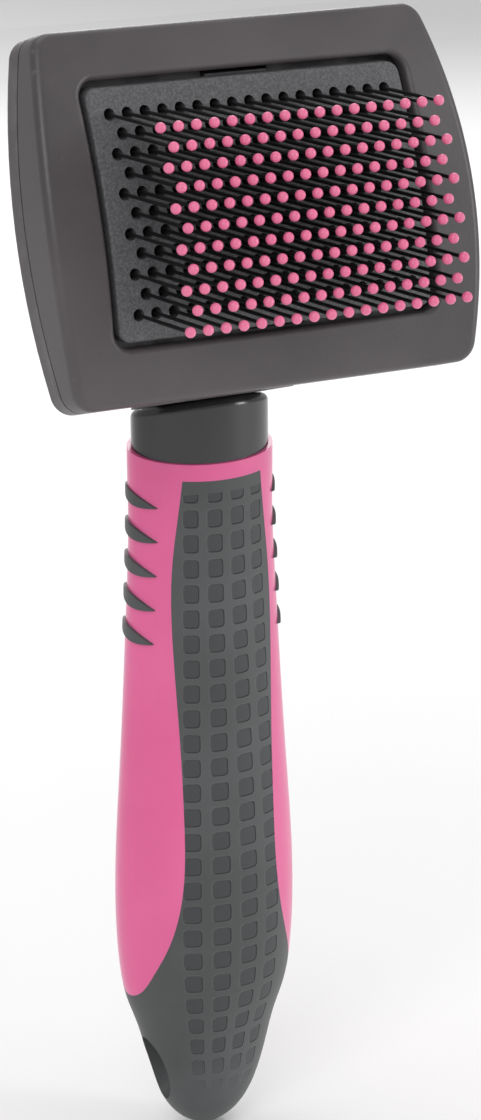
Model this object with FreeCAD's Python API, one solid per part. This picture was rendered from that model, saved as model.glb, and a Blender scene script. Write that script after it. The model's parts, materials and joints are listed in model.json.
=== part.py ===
import FreeCAD, Part
import math
import os
from FreeCAD import Matrix, Placement, Rotation, Vector

# A self-cleaning slicker brush. Lengths are in mm. Z runs up the handle, the pins point along -Y and
# X runs across the head. Heights are written from the tip of the handle, and export() moves
# every piece down so that the middle of the hang hole is the origin.

# ---- handle
HANDLE_PROFILE = [  # height above the tip, half width
    (0, 1.6), (0.6, 3.1), (2.2, 5.6), (5, 8.0), (10, 10.3), (15, 11.8), (20, 13.2), (26, 15.4), (32, 16.5),
    (42, 17.1), (55, 16.8), (70, 15.8), (85, 14.9), (100, 14.1), (113, 13.6), (131, 13.5),
]
HANDLE_FLATNESS = 0.64          # depth over width of every cross-section
GRIP_SKIN = 2.4                 # thickness of the soft skin at the sides
PANEL_EDGE = [                  # height, half width of the soft panel, front and back
    (24, 18.6), (27, 15.75), (32, 13.9), (36, 12.4), (42, 10.6), (50, 9.4), (60, 9.1),
    (72, 9.2), (84, 9.6), (95, 9.9), (105, 9.6), (113, 8.7), (131, 7.4),
]
SLEEVE_TOP = 125.3              # height of the pink sleeve's rim on the handle's axis
RIM_SLOPE = 0.21                # rise of the rim per mm towards the back
SLEEVE_BAND = 2.9               # plain pink band between the rim and the soft panel
CORE_BOTTOM = 20.0              # below this the end of the handle is soft all through
HANG_HOLE_HEIGHT = 12.4
HANG_HOLE_RADIUS = 2.6
HANG_SCOOP = (5.0, 3.1, 6.9)    # half sizes of the scooped mouth at each side
HANG_SCOOP_OUT = 10.5           # how far each scoop's centre lies from the middle

RIB_COUNT = 5
RIB_PITCH = 6.0
RIB_TOP = 117.6                 # height of the highest rib's middle
RIB_LENGTH = 10.2
RIB_WIDTH = 2.1
RIB_SLOPE = 17.0                # degrees, down towards the pins
RIB_PROUD = 0.6
RIB_SUNK = 0.9
RIB_BOTTOM = 70.0               # no rib reaches as low as this
RIB_START = 4.0                 # how far from the middle each rib's bar starts

# ---- neck and tang
NECK_HALF_WIDTH = 12.9
NECK_HALF_DEPTH = 8.3
NECK_SHOULDER = 1.4
TANG = (14.0, 8.0)              # section of the tang that runs from the head into the handle
TANG_CORNER = 2.0
TANG_BOTTOM = 84.0
TANG_CLEARANCE = 0.12
TANG_PIN_HEIGHT = 100.0
TANG_PIN_RADIUS = 1.5
TANG_PIN_LENGTH = 13.0

# ---- head, in its own frame: x across, v up the face, n out of the face
HEAD_TILT = 15.4                # degrees that the face leans back from the handle
FACE_BOTTOM_Y = -27.5
FACE_BOTTOM_Z = 140.4
HEAD_HEIGHT = 61.8
HEAD_WIDTH_BOTTOM = 77.3
HEAD_WIDTH_TOP = 74.1
SIDE_BULGE = 3.4
HEAD_CORNER = 3.8
FACE_RISE = 4.2                 # the face is an arch about x, this much higher in the middle
RIM_DEPTH = 9.2
SEAM_DEPTH = 4.6
SEAM_GAP = 0.1
WALL = 2.0
FRAME_EDGE = 1.6                # rounding of the frame's outer edge
SEAM_EDGE = 0.3
BEZEL = 2.2

WINDOW = (62.8, 43.9)
WINDOW_CORNER = 3.2
WINDOW_LEVEL = 2.1              # level n at which the window is centred on the face
PLATE_GAP = 1.1
PLATE_RECESS = 0.5
PLATE_THICK = 2.2

# ---- pins
ROWS = 11
ROW_PITCH = 3.28
COLUMNS = 17
COLUMN_PITCH = 3.32
PIN_RADIUS = 0.325
PIN_REACH = 16.5                # from the plate to the middle of the ball tip
BALL_RADIUS = 0.9
BALL_BORE = 0.36
CLEARANCE_HOLE = 1.02           # radius of the hole that each pin and its ball pass through
PIN_HOLE = 0.4
PIN_HEAD = (0.55, 0.3)          # radius, thickness
PIN_HEAD_GAP = 0.3              # keeps the flat head clear of the sloping back of the base

BASE_DEPTH = 3.2                # depth of the pin base under the arch of the face
BASE_THICK = 2.8
BACKING_THICK = 1.5
BACKING_POCKET = 1.0
INNER_FIT = 0.4                 # gap between the inner plates and the walls

# ---- release mechanism
STROKE = 9.5
HUMP_RADIUS = 23.5
HUMP_BACK = 8.3                 # y of the back of the housing
HUMP_EDGE = 4.0
STEM_HALF_WIDTH = 10.5          # the hump narrows to this above the neck
HUMP_THROAT = 16.0              # radius where the hump narrows into its stem
BRIDGE_FRONT = 1.9              # y
BRIDGE_BACK = 4.1
BRIDGE_PAD = (32.0, 22.0)
LEG_WIDTH = 12.0
LEG_THICK = 1.5
LEG_OUT = 18.9                  # distance from the mechanism's axis to the near side of a leg
LEG_SLOT_GAP = 0.45
BUTTON = (30.0, 21.0)
BUTTON_FLANGE = (33.0, 24.0)
BUTTON_WALL = 1.8
BUTTON_PROUD = 2.4              # what still stands out when it is pressed right in
BUTTON_GAP = 0.25
BUTTON_EDGE = 1.6
BUTTON_GROOVES = 5
BUTTON_GROOVE_PITCH = 3.4
BUTTON_GROOVE_RADIUS = 0.5
SPRING_OUT = 7.5                # distance of each spring from the middle
SPRING_RADIUS = 2.9
SPRING_WIRE = 0.35
SPRING_TURNS = 9
SPRING_END_GAP = 0.1
SPRING_SEAT_Y = -14.4
SPRING_POST = (2.2, 3.5)        # radius, length

# ---- screws
SCREW_X = 30.5
SCREW_V = 25.3
BOSS_RADIUS = 2.2
BOSS_SHOULDER = 3.2
SCREW_RADIUS = 0.9
SCREW_HOLE = 1.0
SCREW_LENGTH = 7.3              # under the head
SCREW_HEAD = (2.0, 1.3)         # radius, thickness
SCREW_CROSS = (2.2, 0.35, 0.7)  # length, width and depth of each slot of the cross
BOSS_END = -6.9                 # level n

ARCH_RADIUS = (HEAD_HEIGHT ** 2 / 4 + FACE_RISE ** 2) / (2 * FACE_RISE)
SIN_TILT = math.sin(math.radians(HEAD_TILT))
COS_TILT = math.cos(math.radians(HEAD_TILT))
SLIDE = Vector(0, -SIN_TILT, COS_TILT)  # the way the plate slides, in the head's own frame
FACE_CENTRE = Vector(
    0,
    FACE_BOTTOM_Y + SIN_TILT * HEAD_HEIGHT / 2,
    FACE_BOTTOM_Z + COS_TILT * HEAD_HEIGHT / 2,
)
MECHANISM_Z = FACE_CENTRE.z + WINDOW_LEVEL * SIN_TILT
NECK_TOP_Z = FACE_BOTTOM_Z + FACE_BOTTOM_Y * SIN_TILT / COS_TILT
FAR = 60.0                      # longer than any piece it has to pass through


# ---------------------------------------------------------------- general helpers
def from_head(shape):
    """A copy of a shape drawn in the head's own frame, placed on the brush."""
    placed = shape.copy()
    placed.Placement = Placement(FACE_CENTRE, Rotation(Vector(1, 0, 0), 90 - HEAD_TILT))
    return placed


def box(x, y, z):
    """A box between pairs of limits."""
    return Part.makeBox(x[1] - x[0], y[1] - y[0], z[1] - z[0], Vector(x[0], y[0], z[0]))


def rounded_rectangle(width, height, radius):
    """A face in the XY plane, centred on the origin."""
    block = Part.makeBox(width, height, 1, Vector(-width / 2, -height / 2, 0))
    uprights = [e for e in block.Edges if abs(e.tangentAt(e.FirstParameter).z) > 0.9]
    block = block.makeFillet(radius, uprights)
    return next(f for f in block.Faces if abs(f.CenterOfMass.z) < 1e-6)


def racetrack_prism(size, y_from, y_to, grow=0.0):
    """A rounded bar of round-ended section along Y, centred on the mechanism's axis."""
    width, height = size[0] + 2 * grow, size[1] + 2 * grow
    face = rounded_rectangle(width, height, height / 2 - 0.01)
    face.rotate(Vector(0, 0, 0), Vector(1, 0, 0), 90)
    face.translate(Vector(0, y_from, MECHANISM_Z))
    return face.extrude(Vector(0, y_to - y_from, 0))


def rod_along_y(x, z, radius, y_from, y_to):
    return Part.makeCylinder(radius, y_to - y_from, Vector(x, y_from, z), Vector(0, 1, 0))


# ---------------------------------------------------------------- head shapes, in the head's own frame
def head_prism(inset, n_from, n_to):
    """The head's outline, shrunk by inset, drawn straight out of the face."""
    half = HEAD_HEIGHT / 2 - inset
    low, high = HEAD_WIDTH_BOTTOM / 2 - inset, HEAD_WIDTH_TOP / 2 - inset
    middle = (HEAD_WIDTH_BOTTOM + HEAD_WIDTH_TOP) / 4 + SIDE_BULGE - inset
    corners = [Vector(-low, -half, n_from), Vector(low, -half, n_from),
               Vector(high, half, n_from), Vector(-high, half, n_from)]
    wire = Part.Wire([
        Part.LineSegment(corners[0], corners[1]).toShape(),
        Part.Arc(corners[1], Vector(middle, 0, n_from), corners[2]).toShape(),
        Part.LineSegment(corners[2], corners[3]).toShape(),
        Part.Arc(corners[3], Vector(-middle, 0, n_from), corners[0]).toShape(),
    ])
    prism = Part.Face(wire).extrude(Vector(0, 0, n_to - n_from))
    uprights = [e for e in prism.Edges if abs(e.tangentAt(e.FirstParameter).z) > 0.9]
    return prism.makeFillet(HEAD_CORNER - inset, uprights)


def arch(depth):
    """Everything below the arched face, once the face is sunk by depth."""
    centre = Vector(-FAR, 0, FACE_RISE - ARCH_RADIUS)
    return Part.makeCylinder(ARCH_RADIUS - depth, 2 * FAR, centre, Vector(1, 0, 0))


def arch_level(v, depth=0.0):
    """Level n of the sunk face at height v."""
    return FACE_RISE - ARCH_RADIUS + math.sqrt((ARCH_RADIUS - depth) ** 2 - v * v)


def slide_prism(width, height, radius, n_from, n_to):
    """A rounded rectangle, centred in the window, drawn along the way the plate slides."""
    face = rounded_rectangle(width, height, radius)
    face.translate(Vector(0, (WINDOW_LEVEL - n_from) * SIN_TILT / COS_TILT, n_from))
    return face.extrude(SLIDE * ((n_to - n_from) / COS_TILT))


def pin_feet():
    """Rows of points where the pins come through the plate's face."""
    rows = []
    for row in range(ROWS):
        v = ((ROWS - 1) / 2 - row) * ROW_PITCH
        count = COLUMNS - row % 2
        rows.append([
            Vector((i - (count - 1) / 2) * COLUMN_PITCH, v, arch_level(v, PLATE_RECESS))
            for i in range(count)
        ])
    return rows


def reach_back(foot, depth):
    """Distance from a pin's foot, backwards along the slide, to the arch sunk by depth."""
    axis = Vector(0, 0, FACE_RISE - ARCH_RADIUS)
    arm = Vector(0, foot.y, foot.z) - axis
    along = arm.dot(SLIDE)
    return along - math.sqrt(along ** 2 - arm.dot(arm) + (ARCH_RADIUS - depth) ** 2)


def pin_holes(radius):
    """One rod through every pin's place, to cut holes with."""
    return Part.makeCompound([
        Part.makeCylinder(radius, FAR / 2, foot - SLIDE * (FAR / 4), SLIDE)
        for row in pin_feet() for foot in row
    ])


def screw_places():
    return [Vector(x, v, 0) for x in (-SCREW_X, SCREW_X) for v in (-SCREW_V, SCREW_V)]


def screw_rods(radius, n_from, n_to):
    """Rods at the four screw places, all as one shape."""
    return Part.makeCompound([
        Part.makeCylinder(radius, n_to - n_from, place + Vector(0, 0, n_from)) for place in screw_places()
    ])


# ---------------------------------------------------------------- head pieces
def front_frame():
    outer = head_prism(0, -SEAM_DEPTH, FACE_RISE + 2).common(arch(0))
    rim = [e for e in outer.Edges if e.CenterOfMass.z > -SEAM_DEPTH / 2 and
           abs(e.tangentAt(e.FirstParameter).z) < 0.8]
    outer = outer.makeFillet(FRAME_EDGE, rim)
    foot = [e for e in outer.Edges if abs(e.CenterOfMass.z + SEAM_DEPTH) < 1e-6]
    outer = outer.makeFillet(SEAM_EDGE, foot)
    inside = head_prism(WALL, -SEAM_DEPTH - 1, FACE_RISE + 2).common(arch(BEZEL))
    shell = outer.cut(inside)
    shell = shell.cut(slide_prism(WINDOW[0], WINDOW[1], WINDOW_CORNER, -SEAM_DEPTH, FACE_RISE + 4))
    lip = [e for e in shell.Edges if e.BoundBox.XLength < WINDOW[0] + 1 and
           abs(e.CenterOfMass.x) < WINDOW[0] / 2 + 0.5 and abs(e.CenterOfMass.y) < WINDOW[1] / 2 + 1 and
           abs(e.CenterOfMass.z - arch_level(min(abs(e.CenterOfMass.y), 25))) < 0.5]
    shell = shell.makeFillet(0.9, lip)
    bosses = screw_rods(BOSS_RADIUS, BOSS_END, 0).common(arch(BEZEL - 0.2))
    shoulders = screw_rods(BOSS_SHOULDER, -FAR / 4, FACE_RISE).common(arch(BEZEL - 0.2))
    shoulders = shoulders.cut(arch(BASE_DEPTH))
    shell = shell.fuse([bosses, shoulders])
    return shell.cut(screw_rods(SCREW_HOLE, BOSS_END - 1, -0.4)).removeSplitter()


def tang_block(grow, z_from, z_to):
    """The tang's square-cornered section, widened by grow, between two heights."""
    half_x, half_y = TANG[0] / 2 + grow, TANG[1] / 2 + grow
    return box((-half_x, half_x), (-half_y, half_y), (z_from, z_to))


def rear_housing():
    seam = -SEAM_DEPTH - SEAM_GAP
    slab = head_prism(0, -RIM_DEPTH, seam)
    back = [e for e in slab.Edges if abs(e.CenterOfMass.z + RIM_DEPTH) < 1e-6]
    slab = from_head(slab.makeFillet(1.5, back))

    drum = rod_along_y(0, MECHANISM_Z, HUMP_RADIUS, FACE_BOTTOM_Y / 2, HUMP_BACK)
    sides = (-STEM_HALF_WIDTH, STEM_HALF_WIDTH)
    stem = box(sides, (FACE_BOTTOM_Y / 2, HUMP_BACK), (NECK_TOP_Z - FAR, MECHANISM_Z))
    hump = drum.fuse(stem).removeSplitter()
    throat = [e for e in hump.Edges if e.BoundBox.YLength > HUMP_BACK and e.BoundBox.XLength < 1e-3 and
              e.BoundBox.ZLength < 1e-3 and NECK_TOP_Z < e.CenterOfMass.z < MECHANISM_Z - 5 and
              abs(abs(e.CenterOfMass.x) - STEM_HALF_WIDTH) < 0.01]
    hump = hump.makeFillet(HUMP_THROAT, throat)
    bottom = hump.BoundBox.ZMin
    edge = [e for e in hump.Edges if abs(e.CenterOfMass.y - HUMP_BACK) < 1e-6 and
            e.CenterOfMass.z > bottom + 1e-3]
    hump = hump.makeFillet(HUMP_EDGE, edge)
    above_neck = from_head(box((-FAR, FAR), (-HEAD_HEIGHT / 2, FAR), (-FAR, -SEAM_DEPTH - 1)))
    shell = slab.fuse(hump.common(above_neck)).removeSplitter()

    inside = from_head(head_prism(WALL, -RIM_DEPTH + WALL, 0))
    drum_inside = rod_along_y(0, MECHANISM_Z, HUMP_RADIUS - WALL, FACE_BOTTOM_Y, HUMP_BACK - WALL)
    ahead = from_head(box((-FAR, FAR), (-FAR, FAR), (seam, FAR)))
    shell = shell.cut([inside, drum_inside.cut(ahead)])
    shell = shell.cut(ahead)
    shell = shell.cut(racetrack_prism(BUTTON, 0, HUMP_BACK + 2, BUTTON_GAP))
    shell = shell.cut(from_head(screw_rods(SCREW_HOLE + 0.1, -FAR / 2, 0)))
    shell = shell.cut(from_head(screw_rods(SCREW_HEAD[0] + 0.2, -FAR / 2, -RIM_DEPTH + SCREW_HEAD[1])))

    tang = tang_block(0, TANG_BOTTOM, NECK_TOP_Z + STEM_HALF_WIDTH)
    uprights = [e for e in tang.Edges if abs(e.tangentAt(e.FirstParameter).z) > 0.9]
    tang = tang.makeFillet(TANG_CORNER, uprights)
    tang = tang.cut(rod_along_y(0, TANG_PIN_HEIGHT, TANG_PIN_RADIUS + 0.03, -FAR, FAR))
    return shell.fuse(tang).removeSplitter()


def stripper_plate():
    size = [side - 2 * PLATE_GAP for side in WINDOW]
    plate = slide_prism(size[0], size[1], WINDOW_CORNER - PLATE_GAP, -SEAM_DEPTH, FACE_RISE + 4)
    plate = plate.common(arch(PLATE_RECESS))
    edge = [e for e in plate.Edges if e.CenterOfMass.z > 0 and abs(e.tangentAt(e.FirstParameter).z) < 0.85]
    plate = plate.makeFillet(0.5, edge)
    plate = plate.cut(arch(PLATE_RECESS + PLATE_THICK))
    return from_head(plate.cut(pin_holes(CLEARANCE_HOLE)))


def leg_slots(gap):
    """The spaces, along Y, that the carriage's two legs take up, widened by gap."""
    half = LEG_WIDTH / 2 + gap
    near, far = LEG_OUT - gap, LEG_OUT + LEG_THICK + gap
    return Part.makeCompound([
        box((-half, half), (-FAR, BRIDGE_FRONT), (MECHANISM_Z + near, MECHANISM_Z + far)),
        box((-half, half), (-FAR, BRIDGE_FRONT), (MECHANISM_Z - far, MECHANISM_Z - near)),
    ])


def spring_places():
    return [-SPRING_OUT, SPRING_OUT]


def stripper_carriage():
    """Two legs that push the plate, and the bridge behind them that the button pushes."""
    legs = leg_slots(0).common(from_head(arch(PLATE_RECESS + PLATE_THICK)))
    half, reach = LEG_WIDTH / 2, LEG_OUT + LEG_THICK
    bar = box((-half, half), (BRIDGE_FRONT, BRIDGE_BACK), (MECHANISM_Z - reach, MECHANISM_Z + reach))
    pad = racetrack_prism(BRIDGE_PAD, BRIDGE_FRONT, BRIDGE_BACK)
    bridge = bar.fuse(pad).removeSplitter()
    for x in spring_places():
        bridge = bridge.cut(rod_along_y(x, MECHANISM_Z, SPRING_RADIUS + SPRING_WIRE + 0.6, -FAR, FAR))
    return bridge.fuse(legs.Solids).removeSplitter()


def inner_plate(depth, thick):
    """A plate that fills the inside of the head between two sunk arches."""
    plate = head_prism(WALL + INNER_FIT, -FAR / 2, FACE_RISE).common(arch(depth)).cut(arch(depth + thick))
    plate = plate.cut(screw_rods(BOSS_RADIUS + 0.25, -FAR / 2, FACE_RISE))
    return plate


def pin_base_plate():
    plate = inner_plate(BASE_DEPTH, BASE_THICK).cut(pin_holes(PIN_HOLE))
    return from_head(plate).cut(leg_slots(LEG_SLOT_GAP))


def pin_backing_plate():
    depth = BASE_DEPTH + BASE_THICK + 0.02
    plate = inner_plate(depth, BACKING_THICK)
    field = slide_prism(COLUMNS * COLUMN_PITCH + 1, ROWS * ROW_PITCH, 2, -FAR / 3, FACE_RISE)
    plate = from_head(plate.cut(field.cut(arch(depth + BACKING_POCKET))))
    behind = from_head(arch(depth + BACKING_THICK - 0.1))
    for x in spring_places():
        seat = rod_along_y(x, MECHANISM_Z, SPRING_RADIUS + 1, FACE_BOTTOM_Y, SPRING_SEAT_Y).common(behind)
        post = rod_along_y(x, MECHANISM_Z, SPRING_POST[0], SPRING_SEAT_Y, SPRING_SEAT_Y + SPRING_POST[1])
        plate = plate.fuse([seat, post])
    return plate.removeSplitter().cut(leg_slots(LEG_SLOT_GAP))


def pin_row(feet):
    """The steel pins of one row, each with the head that keeps it in the base."""
    pins = []
    back = reach_back(feet[0], BASE_DEPTH + BASE_THICK) + PIN_HEAD_GAP
    for foot in feet:
        start = foot - SLIDE * back
        wire = Part.makeCylinder(PIN_RADIUS, back + PIN_REACH + 0.2, start, SLIDE)
        head = Part.makeCylinder(PIN_HEAD[0], PIN_HEAD[1], start - SLIDE * PIN_HEAD[1], SLIDE)
        pins.append(wire.fuse(head).removeSplitter())
    return from_head(Part.makeCompound(pins))


def tip_row(feet):
    """The ball tips of one row, each with a blind bore for its pin."""
    ball = Part.makeSphere(BALL_RADIUS)
    ball = ball.cut(Part.makeCylinder(BALL_BORE, BALL_RADIUS + 1.3, -SLIDE * (BALL_RADIUS + 1), SLIDE))
    balls = []
    for foot in feet:
        tip = ball.copy()
        tip.translate(foot + SLIDE * PIN_REACH)
        balls.append(tip)
    return from_head(Part.makeCompound(balls))


def push_button():
    crown_y = HUMP_BACK + STROKE + BUTTON_PROUD
    body = racetrack_prism(BUTTON, BRIDGE_BACK + 0.05, crown_y)
    crown = [e for e in body.Edges if abs(e.CenterOfMass.y - crown_y) < 1e-6]
    body = body.makeFillet(BUTTON_EDGE, crown)
    flange = racetrack_prism(BUTTON_FLANGE, BRIDGE_BACK + 0.05, HUMP_BACK - WALL - 0.05)
    body = body.fuse(flange).removeSplitter()
    body = body.cut(racetrack_prism(BUTTON, 0, crown_y - BUTTON_WALL, -BUTTON_WALL))
    for i in range(BUTTON_GROOVES):
        z = MECHANISM_Z + (i - (BUTTON_GROOVES - 1) / 2) * BUTTON_GROOVE_PITCH
        start = Vector(-BUTTON[0] / 4, crown_y, z)
        body = body.cut(Part.makeCylinder(BUTTON_GROOVE_RADIUS, BUTTON[0] / 2, start, Vector(1, 0, 0)))
    return body


def return_spring():
    """The left compression spring, between its seat on the backing plate and the inside of the button."""
    ceiling = HUMP_BACK + STROKE + BUTTON_PROUD - BUTTON_WALL
    length = ceiling - SPRING_SEAT_Y - 2 * (SPRING_WIRE + SPRING_END_GAP)
    helix = Part.makeHelix(length / SPRING_TURNS, length, SPRING_RADIUS)
    ring = Part.Wire(Part.makeCircle(SPRING_WIRE, Vector(SPRING_RADIUS, 0, 0), Vector(0, 1, 0)))
    coil = Part.Wire(helix).makePipeShell([ring], True, True)
    coil.rotate(Vector(0, 0, 0), Vector(1, 0, 0), -90)
    coil.translate(Vector(-SPRING_OUT, SPRING_SEAT_Y + SPRING_WIRE + SPRING_END_GAP, MECHANISM_Z))
    return coil


def housing_screws():
    radius, thick = SCREW_HEAD
    long, wide, deep = SCREW_CROSS
    screws = []
    for place in screw_places():
        back = place + Vector(0, 0, -RIM_DEPTH)
        head = Part.makeCylinder(radius, thick, back)
        for size_x, size_y in ((long, wide), (wide, long)):
            head = head.cut(Part.makeBox(size_x, size_y, deep, back - Vector(size_x / 2, size_y / 2, 0)))
        shank = Part.makeCylinder(SCREW_RADIUS, SCREW_LENGTH, back + Vector(0, 0, thick))
        screws.append(from_head(head.fuse(shank).removeSplitter()))
    return Part.makeCompound(screws)


# ---------------------------------------------------------------- handle pieces
def handle_form(inset, bottom=0):
    """The handle's smooth form, lofted from oval sections and shrunk by inset at the sides."""
    sections = []
    for height, half in HANDLE_PROFILE:
        if height >= bottom:
            oval = Part.Ellipse(Vector(0, 0, height), half - inset, (half - inset) * HANDLE_FLATNESS)
            sections.append(Part.Wire(oval.toShape()))
    return Part.makeLoft(sections, True, False)


def above(height):
    """Everything above the sloping plane that crosses the handle's axis at that height."""
    half = math.degrees(math.atan(RIM_SLOPE))
    block = Part.makeBox(2 * FAR, 2 * FAR, 2 * FAR, Vector(-FAR, -FAR, 0))
    block.rotate(Vector(0, 0, 0), Vector(1, 0, 0), half)
    block.translate(Vector(0, 0, height))
    return block


def panel_block():
    """The region of the soft panels, right through the handle, up to the plain band."""
    right = [Vector(half, -FAR, height) for height, half in PANEL_EDGE]
    left = [Vector(-p.x, p.y, p.z) for p in reversed(right)]
    edges = []
    for points in (right, left):
        curve = Part.BSplineCurve()
        curve.interpolate(Points=points)
        edges.append(curve.toShape())
    start = right[0].z
    below = [Vector(x, -FAR, z) for x, z in ((-FAR, start), (-FAR, -FAR), (FAR, -FAR), (FAR, start))]
    corners = [left[-1]] + below + [right[0]]
    edges += [Part.LineSegment(a, b).toShape() for a, b in zip(corners, corners[1:])]
    edges.append(Part.LineSegment(right[-1], left[0]).toShape())
    wire = Part.Wire(Part.__sortEdges__(edges))
    return Part.Face(wire).extrude(Vector(0, 2 * FAR, 0)).cut(above(SLEEVE_TOP - SLEEVE_BAND))


def rib_bars(side):
    """Spindle-shaped bars that stick out of one side and lean down towards the pins."""
    bars = []
    for i in range(RIB_COUNT):
        half, width, start = RIB_LENGTH / 2, RIB_WIDTH / 2, side * RIB_START
        arcs = [
            Part.Arc(Vector(start, -half, 0), Vector(start, 0, width), Vector(start, half, 0)).toShape(),
            Part.Arc(Vector(start, half, 0), Vector(start, 0, -width), Vector(start, -half, 0)).toShape(),
        ]
        bar = Part.Face(Part.Wire(arcs)).extrude(Vector(side * FAR, 0, 0))
        bar.rotate(Vector(0, 0, 0), Vector(1, 0, 0), RIB_SLOPE)
        bar.translate(Vector(0, 0, RIB_TOP - i * RIB_PITCH))
        bars.append(bar)
    return Part.makeCompound(bars)


def hang_hole():
    """The round hole through the end of the handle, with a scooped mouth at each side."""
    hole = Part.makeCylinder(HANG_HOLE_RADIUS, 2 * FAR, Vector(-FAR, 0, HANG_HOLE_HEIGHT), Vector(1, 0, 0))
    scoops = []
    for side in (-1, 1):
        stretch = Matrix()
        stretch.scale(*HANG_SCOOP)
        scoop = Part.makeSphere(1.0).transformGeometry(stretch)
        scoop.translate(Vector(side * HANG_SCOOP_OUT, 0, HANG_HOLE_HEIGHT - 0.2))
        scoops.append(scoop)
    return [hole] + scoops


def handle_pieces():
    """The pink core, the soft grip moulded over it, and the ribs let into its sides."""
    form = handle_form(0).cut(above(SLEEVE_TOP))
    soft = panel_block().cut(handle_form(GRIP_SKIN, CORE_BOTTOM))
    core = form.cut(soft)
    grip = form.common(soft).cut(hang_hole())

    rib_floor = handle_form(RIB_SUNK, RIB_BOTTOM)
    rib_face = handle_form(-RIB_PROUD, RIB_BOTTOM)
    ribs = {}
    for side, name in ((-1, "grip_ribs_left"), (1, "grip_ribs_right")):
        pockets = rib_bars(side).cut(rib_floor)
        core = core.cut(pockets.Solids)
        ribs[name] = pockets.common(rib_face)

    bore = tang_block(TANG_CLEARANCE, TANG_BOTTOM - 0.3, FAR + SLEEVE_TOP)
    pin = tang_pin()
    core = core.cut([bore, pin])
    return {"handle_core": core, "grip_overmould": grip, "tang_pin": pin, **ribs}


def tang_pin():
    """The dowel across the handle that locks the tang, hidden under the soft grip."""
    return rod_along_y(0, TANG_PIN_HEIGHT, TANG_PIN_RADIUS, -TANG_PIN_LENGTH / 2, TANG_PIN_LENGTH / 2)


def neck_collar():
    """The glossy oval collar between the sleeve and the head."""
    blank = Part.makeCylinder(NECK_HALF_WIDTH, 30, Vector(0, 0, SLEEVE_TOP - 8))
    flatten = Matrix()
    flatten.scale(1, NECK_HALF_DEPTH / NECK_HALF_WIDTH, 1)
    blank = blank.transformGeometry(flatten)
    blank = blank.common(above(SLEEVE_TOP + 0.02))
    over = from_head(box((-FAR, FAR), (-HEAD_HEIGHT / 2 - 0.05, FAR), (-2 * FAR, 2 * FAR)))
    blank = blank.cut(over)
    middle = (SLEEVE_TOP + NECK_TOP_Z) / 2
    rim = [e for e in blank.Edges if e.CenterOfMass.z > middle and e.BoundBox.XLength > 5]
    blank = blank.makeFillet(NECK_SHOULDER, rim)
    return blank.cut(tang_block(TANG_CLEARANCE, TANG_BOTTOM, TANG_BOTTOM + 2 * FAR))


# ---------------------------------------------------------------- export
def export(name, shape):
    moved = shape.copy()
    moved.translate(Vector(0, 0, -HANG_HOLE_HEIGHT))
    solids = moved.Solids
    print(f"{name:20s} {len(solids):3d} solids  valid {moved.isValid()}  {moved.Volume:9.1f} mm3")
    (moved if len(solids) > 1 else solids[0]).exportStep(os.path.join("parts", name + ".step"))


def main():
    os.makedirs("parts", exist_ok=True)
    pieces = {
        "front_frame": from_head(front_frame()),
        "rear_housing": rear_housing(),
        "stripper_plate": stripper_plate(),
        "stripper_carriage": stripper_carriage(),
        "pin_base_plate": pin_base_plate(),
        "pin_backing_plate": pin_backing_plate(),
        "push_button": push_button(),
        "return_spring_left": return_spring(),
        "return_spring_right": return_spring().mirror(Vector(0, 0, 0), Vector(1, 0, 0)),
        "housing_screws": housing_screws(),
        "neck_collar": neck_collar(),
        **handle_pieces(),
    }
    for number, feet in enumerate(pin_feet(), 1):
        pieces[f"pin_row_{number:02d}"] = pin_row(feet)
        pieces[f"tip_row_{number:02d}"] = tip_row(feet)
    for name, shape in pieces.items():
        export(name, shape)


main()
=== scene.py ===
import json
import math

import bpy
from mathutils import Matrix, Vector


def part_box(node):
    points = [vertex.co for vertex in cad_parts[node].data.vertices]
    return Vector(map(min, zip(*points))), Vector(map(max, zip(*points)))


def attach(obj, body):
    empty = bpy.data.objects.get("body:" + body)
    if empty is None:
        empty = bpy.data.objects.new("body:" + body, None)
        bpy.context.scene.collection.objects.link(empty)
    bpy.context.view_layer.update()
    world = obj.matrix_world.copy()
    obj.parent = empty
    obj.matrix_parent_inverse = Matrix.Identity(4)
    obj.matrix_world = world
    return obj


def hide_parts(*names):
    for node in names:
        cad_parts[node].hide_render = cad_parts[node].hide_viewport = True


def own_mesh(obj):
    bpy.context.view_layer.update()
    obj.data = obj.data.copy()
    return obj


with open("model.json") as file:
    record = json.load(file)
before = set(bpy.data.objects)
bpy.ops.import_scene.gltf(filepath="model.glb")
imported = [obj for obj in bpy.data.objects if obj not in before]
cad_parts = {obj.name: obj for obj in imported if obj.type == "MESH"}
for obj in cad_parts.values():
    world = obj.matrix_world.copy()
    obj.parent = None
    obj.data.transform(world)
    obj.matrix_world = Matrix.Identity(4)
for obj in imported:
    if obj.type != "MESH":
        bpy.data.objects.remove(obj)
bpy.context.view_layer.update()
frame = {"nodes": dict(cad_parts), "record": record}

MM = 0.001

# Soft grip: the pressed pattern of rounded squares on its front and back panels.
SQUARE_COLUMN_ANGLE = math.radians(19.0)
SQUARE_ROW_PITCH = 4.4 * MM
SQUARE_ROW_SLOPE = 0.21
SQUARE_HALF = (0.33, 0.37)      # share of the column and row pitch
SQUARE_COLUMNS_EACH_SIDE = 2.0
SQUARES_FROM = -6.0 * MM
SQUARES_TO = 106.0 * MM
SQUARES_FADE = 12.0 * MM
SQUARE_ROUNDING = 5.0           # the higher, the squarer the corners
SQUARE_DEPTH = 0.7 * MM
PHASE_SHIFT = 40.0              # whole cells, so that the pattern's coordinates stay positive
HANDLE_FLATNESS = 0.64

# Studio floor, in metres
FLOOR_GAP = 0.2 * MM
FLOOR_ROWS = 40
FLOOR_START = -1.5
FLOOR_STEP = 0.09
FLOOR_CURVE_FROM = 1.2
FLOOR_CURVE = 1.2
FLOOR_HALF_WIDTH = 3.0

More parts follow.
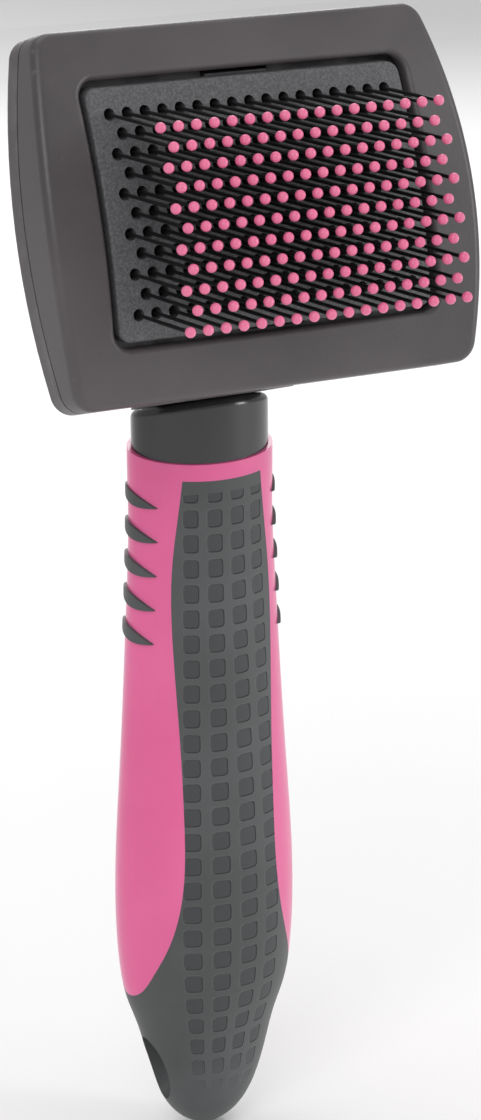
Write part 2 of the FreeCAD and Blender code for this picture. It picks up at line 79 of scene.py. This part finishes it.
# Camera: angles in degrees, distance and target in metres, lens in mm
CAMERA_AZIMUTH = -31.02
CAMERA_ELEVATION = 14.83
CAMERA_ROLL = -0.45
CAMERA_DISTANCE = 0.7179
CAMERA_TARGET = Vector((0.0080, 0.0, 0.0908))
CAMERA_LENS = 131.85


class Graph:
    """A material with a Principled shader, and short calls that add nodes to it."""

    def __init__(self, name, colour, roughness, metallic=0.0):
        self.material = bpy.data.materials.new(name)
        self.material.use_nodes = True
        self.nodes = self.material.node_tree.nodes
        self.links = self.material.node_tree.links
        self.shader = self.nodes["Principled BSDF"]
        self.shader.inputs["Base Color"].default_value = (*colour, 1.0)
        self.shader.inputs["Roughness"].default_value = roughness
        self.shader.inputs["Metallic"].default_value = metallic
        self.place = self.add("ShaderNodeTexCoord").outputs["Object"]

    def add(self, kind, **settings):
        node = self.nodes.new(kind)
        for key, value in settings.items():
            setattr(node, key, value)
        return node

    def feed(self, socket, value):
        if isinstance(value, bpy.types.NodeSocket):
            self.links.new(value, socket)
        else:
            socket.default_value = value

    def math(self, operation, *values, clamp=False):
        node = self.add("ShaderNodeMath", operation=operation, use_clamp=clamp)
        for socket, value in zip(node.inputs, values):
            self.feed(socket, value)
        return node.outputs[0]

    def step(self, value, low, high):
        node = self.add("ShaderNodeMapRange", interpolation_type="SMOOTHSTEP")
        self.feed(node.inputs["Value"], value)
        self.feed(node.inputs["From Min"], low)
        self.feed(node.inputs["From Max"], high)
        return node.outputs["Result"]

    def noise(self, scale, detail=3.0, roughness=0.5, stretch=(1.0, 1.0, 1.0)):
        mapping = self.add("ShaderNodeMapping")
        self.links.new(self.place, mapping.inputs["Vector"])
        mapping.inputs["Scale"].default_value = stretch
        node = self.add("ShaderNodeTexNoise")
        self.links.new(mapping.outputs["Vector"], node.inputs["Vector"])
        node.inputs["Scale"].default_value = scale
        node.inputs["Detail"].default_value = detail
        node.inputs["Roughness"].default_value = roughness
        return node.outputs["Fac"]

    def mix(self, share, first, second):
        node = self.add("ShaderNodeMix", data_type="RGBA")
        self.feed(node.inputs["Factor"], share)
        colours = [s for s in node.inputs if s.type == "RGBA"]
        for socket, value in zip(colours, (first, second)):
            if isinstance(value, tuple):
                value = (*value, 1.0) if len(value) == 3 else value
            self.feed(socket, value)
        return next(s for s in node.outputs if s.type == "RGBA")

    def bump(self, height, distance, strength=1.0):
        node = self.add("ShaderNodeBump")
        node.inputs["Strength"].default_value = strength
        node.inputs["Distance"].default_value = distance
        self.feed(node.inputs["Height"], height)
        if self.shader.inputs["Normal"].is_linked:
            self.links.new(self.shader.inputs["Normal"].links[0].from_socket, node.inputs["Normal"])
        self.links.new(node.outputs["Normal"], self.shader.inputs["Normal"])

    def set(self, **values):
        for name, value in values.items():
            self.feed(self.shader.inputs[name.replace("_", " ")], value)

    def edge_wear(self, low=0.52, high=0.60):
        """One on sharp outer edges, broken up, and zero elsewhere."""
        point = self.add("ShaderNodeNewGeometry").outputs["Pointiness"]
        broken = self.step(self.noise(160.0, 4.0), 0.4, 0.62)
        return self.math("MULTIPLY", self.step(point, low, high), broken)


def shell_plastic(name, colour, lift, grain, roughness):
    """Dark moulded plastic: cloudy tone, fine grain, faint rubbed edges and small marks."""
    g = Graph(name, colour, roughness)
    cloud = g.step(g.noise(28.0, 4.0), 0.3, 0.7)
    base = g.mix(cloud, colour, lift)
    marks = g.step(g.noise(420.0, 2.0, 0.6, (1.0, 1.0, 0.25)), 0.74, 0.8)
    base = g.mix(g.math("MULTIPLY", marks, 0.3), base, (0.3, 0.29, 0.3))
    base = g.mix(g.math("MULTIPLY", g.edge_wear(), 0.35), base, (0.2, 0.19, 0.2))
    uneven = g.math("ADD", roughness - 0.05, g.math("MULTIPLY", cloud, 0.12))
    g.set(Base_Color=base, Roughness=uneven)
    g.bump(g.noise(grain, 2.0), 0.00004, 0.6)
    return g.material


def pink_plastic(name, colour, deep, roughness=0.3):
    g = Graph(name, colour, roughness)
    cloud = g.step(g.noise(35.0, 3.0), 0.3, 0.7)
    g.set(Base_Color=g.mix(cloud, colour, deep))
    g.shader.inputs["Subsurface Weight"].default_value = 0.12
    g.shader.inputs["Subsurface Radius"].default_value = (0.004, 0.0012, 0.0015)
    g.shader.inputs["Subsurface Scale"].default_value = 0.4
    g.shader.inputs["Coat Weight"].default_value = 0.25
    g.shader.inputs["Coat Roughness"].default_value = 0.18
    g.bump(g.noise(260.0, 3.0), 0.00003, 0.5)
    return g.material


def grip_rubber(name, with_squares):
    g = Graph(name, (0.066, 0.07, 0.07), 0.58)
    cloud = g.step(g.noise(40.0, 4.0), 0.3, 0.7)
    base = g.mix(cloud, (0.058, 0.062, 0.062), (0.082, 0.086, 0.088))
    grain = g.noise(1600.0, 2.0)
    if with_squares:
        split = g.add("ShaderNodeSeparateXYZ")
        g.links.new(g.place, split.inputs[0])
        x, y, z = split.outputs
        depth = g.math("DIVIDE", g.math("ABSOLUTE", y), HANDLE_FLATNESS)
        column = g.math("DIVIDE", g.math("ARCTAN2", x, depth), SQUARE_COLUMN_ANGLE)
        level = g.math("SUBTRACT", z, g.math("MULTIPLY", y, SQUARE_ROW_SLOPE))
        row = g.math("DIVIDE", level, SQUARE_ROW_PITCH)
        powers = []
        for value, half in ((column, SQUARE_HALF[0]), (row, SQUARE_HALF[1])):
            share = g.math("FRACT", g.math("ADD", value, PHASE_SHIFT))
            off = g.math("ABSOLUTE", g.math("SUBTRACT", share, 0.5))
            powers.append(g.math("POWER", g.math("DIVIDE", off, half), SQUARE_ROUNDING))
        reach = g.math("POWER", g.math("ADD", powers[0], powers[1]), 1.0 / SQUARE_ROUNDING)
        inside = g.math("SUBTRACT", 1.0, g.step(reach, 0.86, 1.04))
        outside = g.math("SUBTRACT", 1.0, g.step(reach, 1.0, 1.14))
        # painted highlight: a lighter band along the rims of the pressed squares
        painted_rim_highlight = g.math("MULTIPLY", g.step(reach, 0.82, 0.96), outside)
        near = g.math("LESS_THAN", g.math("ABSOLUTE", column), SQUARE_COLUMNS_EACH_SIDE)
        span = g.math("MULTIPLY", g.step(z, SQUARES_FROM, SQUARES_FROM + SQUARES_FADE),
                      g.math("LESS_THAN", z, SQUARES_TO))
        mask = g.math("MULTIPLY", near, span)
        painted_rim_highlight = g.math("MULTIPLY", painted_rim_highlight, mask)
        inside = g.math("MULTIPLY", inside, mask)
        # painted highlight: the rims of the pressed squares mixed lighter
        base = g.mix(g.math("MULTIPLY", painted_rim_highlight, 0.4), base, (0.14, 0.145, 0.145))
        # painted shade: the insides of the pressed squares darker, as shade falling into their
        # recesses
        base = g.mix(g.math("MULTIPLY", inside, 0.7), base, (0.03, 0.032, 0.036))
        g.bump(g.math("MULTIPLY", inside, -1.0), SQUARE_DEPTH)
    g.set(Base_Color=base)
    g.shader.inputs["Sheen Weight"].default_value = 0.15
    g.shader.inputs["Sheen Roughness"].default_value = 0.5
    g.bump(grain, 0.00003, 0.5)
    return g.material


def plate_plastic(name):
    """Spark-textured matte plate."""
    g = Graph(name, (0.1, 0.1, 0.106), 0.62)
    speckle = g.noise(2200.0, 2.0, 0.7)
    base = g.mix(g.step(speckle, 0.35, 0.7), (0.075, 0.076, 0.08), (0.135, 0.135, 0.142))
    g.set(Base_Color=base)
    g.bump(speckle, 0.00008, 0.8)
    return g.material


def metal(name, colour, roughness, grain):
    g = Graph(name, colour, roughness, 1.0)
    streak = g.noise(grain, 3.0, 0.6, (1.0, 8.0, 1.0))
    g.set(Roughness=g.math("ADD", roughness - 0.08, g.math("MULTIPLY", streak, 0.16)))
    g.bump(streak, 0.00002, 0.4)
    return g.material


def gloss_black(name):
    g = Graph(name, (0.018, 0.018, 0.02), 0.2)
    g.set(Roughness=g.math("ADD", 0.16, g.math("MULTIPLY", g.noise(60.0, 4.0), 0.12)))
    g.shader.inputs["Coat Weight"].default_value = 0.4
    g.shader.inputs["Coat Roughness"].default_value = 0.1
    g.bump(g.noise(300.0, 2.0), 0.00002, 0.4)
    return g.material


def coated_wire(name):
    g = Graph(name, (0.02, 0.02, 0.022), 0.3, 0.6)
    g.set(Roughness=g.math("ADD", 0.22, g.math("MULTIPLY", g.noise(900.0, 2.0), 0.2)))
    g.bump(g.noise(1500.0, 2.0), 0.00001, 0.5)
    return g.material


MATERIALS = {
    "head_satin_plastic": shell_plastic(
        "head_satin", (0.062, 0.055, 0.059), (0.09, 0.08, 0.086), 1500.0, 0.4),
    "plate_matte_plastic": plate_plastic("plate_matte"),
    "inner_plastic": shell_plastic(
        "inner_black", (0.03, 0.03, 0.032), (0.045, 0.045, 0.047), 900.0, 0.5),
    "button_plastic": pink_plastic("button_pink", (0.83, 0.13, 0.34), (0.76, 0.1, 0.29)),
    "spring_steel": metal("spring_steel", (0.6, 0.6, 0.62), 0.28, 500.0),
    "screw_steel": metal("screw_steel", (0.42, 0.42, 0.44), 0.34, 700.0),
    "neck_gloss_plastic": gloss_black("neck_gloss"),
    "pink_plastic": pink_plastic("handle_pink", (0.84, 0.135, 0.35), (0.79, 0.11, 0.31)),
    "soft_grip": grip_rubber("grip_ribbed", False),
    "pin_black": coated_wire("pin_coating"),
    "pink_tip": pink_plastic("tip_pink", (0.86, 0.2, 0.36), (0.8, 0.16, 0.32), 0.34),
}
GRIP_SQUARES = grip_rubber("grip_squares", True)


def dress(node, material):
    for place in frame["nodes"][node].material_slots:
        place.link = "OBJECT"
        place.material = material


for entry in frame["record"]["subparts"]:
    node = entry["node"]
    chosen = GRIP_SQUARES if node == "grip_overmould" else MATERIALS[entry["material_slot"]]
    dress(node, chosen)


def squashing_coil(node):
    """A copy of a return spring, in spring steel, attached to the brush in place of the hidden
    original.
    """
    mesh = frame["nodes"][node].data.copy()
    mesh.materials.clear()
    mesh.materials.append(MATERIALS["spring_steel"])
    coil = bpy.data.objects.new(node + "_coil", mesh)
    bpy.context.scene.collection.objects.link(coil)
    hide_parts(node)
    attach(coil, "brush")
    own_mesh(coil)


def studio_floor():
    """A pale floor under the handle's tip, curving up far behind."""
    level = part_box("grip_overmould")[0][2] - FLOOR_GAP
    rows = []
    for i in range(FLOOR_ROWS):
        reach = FLOOR_START + i * FLOOR_STEP
        rise = max(0.0, reach - FLOOR_CURVE_FROM)
        rows.append((reach, level + rise * rise * FLOOR_CURVE))
    points = [(x, y, z) for y, z in rows for x in (-FLOOR_HALF_WIDTH, FLOOR_HALF_WIDTH)]
    faces = [(2 * i, 2 * i + 1, 2 * i + 3, 2 * i + 2) for i in range(len(rows) - 1)]
    mesh = bpy.data.meshes.new("studio_floor")
    mesh.from_pydata(points, [], faces)
    floor = bpy.data.objects.new("studio_floor", mesh)
    bpy.context.scene.collection.objects.link(floor)
    g = Graph("studio_paper", (0.93, 0.93, 0.93), 0.8)
    g.bump(g.noise(300.0, 2.0), 0.0001, 0.1)
    mesh.materials.append(g.material)


def soft_light(name, place, size, power, colour=(1.0, 1.0, 1.0)):
    data = bpy.data.lights.new(name, "AREA")
    data.shape = "RECTANGLE"
    data.size, data.size_y = size
    data.energy = power
    data.color = colour
    light = bpy.data.objects.new(name, data)
    light.location = place
    light.rotation_euler = (CAMERA_TARGET - Vector(place)).to_track_quat("-Z", "Y").to_euler()
    bpy.context.scene.collection.objects.link(light)


def camera():
    azimuth, elevation = math.radians(CAMERA_AZIMUTH), math.radians(CAMERA_ELEVATION)
    back = Vector((math.sin(azimuth) * math.cos(elevation), -math.cos(azimuth) * math.cos(elevation),
                   math.sin(elevation)))
    level_right = (-back).cross(Vector((0, 0, 1))).normalized()
    level_up = level_right.cross(-back)
    roll = math.radians(CAMERA_ROLL)
    right = math.cos(roll) * level_right + math.sin(roll) * level_up
    up = -math.sin(roll) * level_right + math.cos(roll) * level_up
    place = CAMERA_TARGET + back * CAMERA_DISTANCE
    data = bpy.data.cameras.new("camera")
    data.lens = CAMERA_LENS
    data.sensor_width = 36.0
    data.sensor_fit = "AUTO"
    data.clip_start = 0.01
    holder = bpy.data.objects.new("camera", data)
    axes = Matrix((right, up, back)).transposed().to_4x4()
    holder.matrix_world = Matrix.Translation(place) @ axes
    bpy.context.scene.collection.objects.link(holder)
    bpy.context.scene.camera = holder


for spring in ("return_spring_left", "return_spring_right"):
    squashing_coil(spring)
studio_floor()
camera()
soft_light("key_left", (-0.9, -0.9, 1.0), (0.8, 0.8), 6.5)
soft_light("fill_right", (0.9, -0.7, 0.35), (0.2, 0.9), 4.0)
soft_light("top", (0.1, 0.2, 1.3), (0.9, 0.9), 3.5)
soft_light("back_rim", (0.5, 1.0, 0.7), (0.6, 0.6), 5.0)

world = bpy.data.worlds.new("studio")
world.use_nodes = True
world.node_tree.nodes["Background"].inputs["Color"].default_value = (1.0, 1.0, 1.0, 1.0)
world.node_tree.nodes["Background"].inputs["Strength"].default_value = 0.5
bpy.context.scene.world = world
bpy.context.scene.view_settings.view_transform = "Standard"
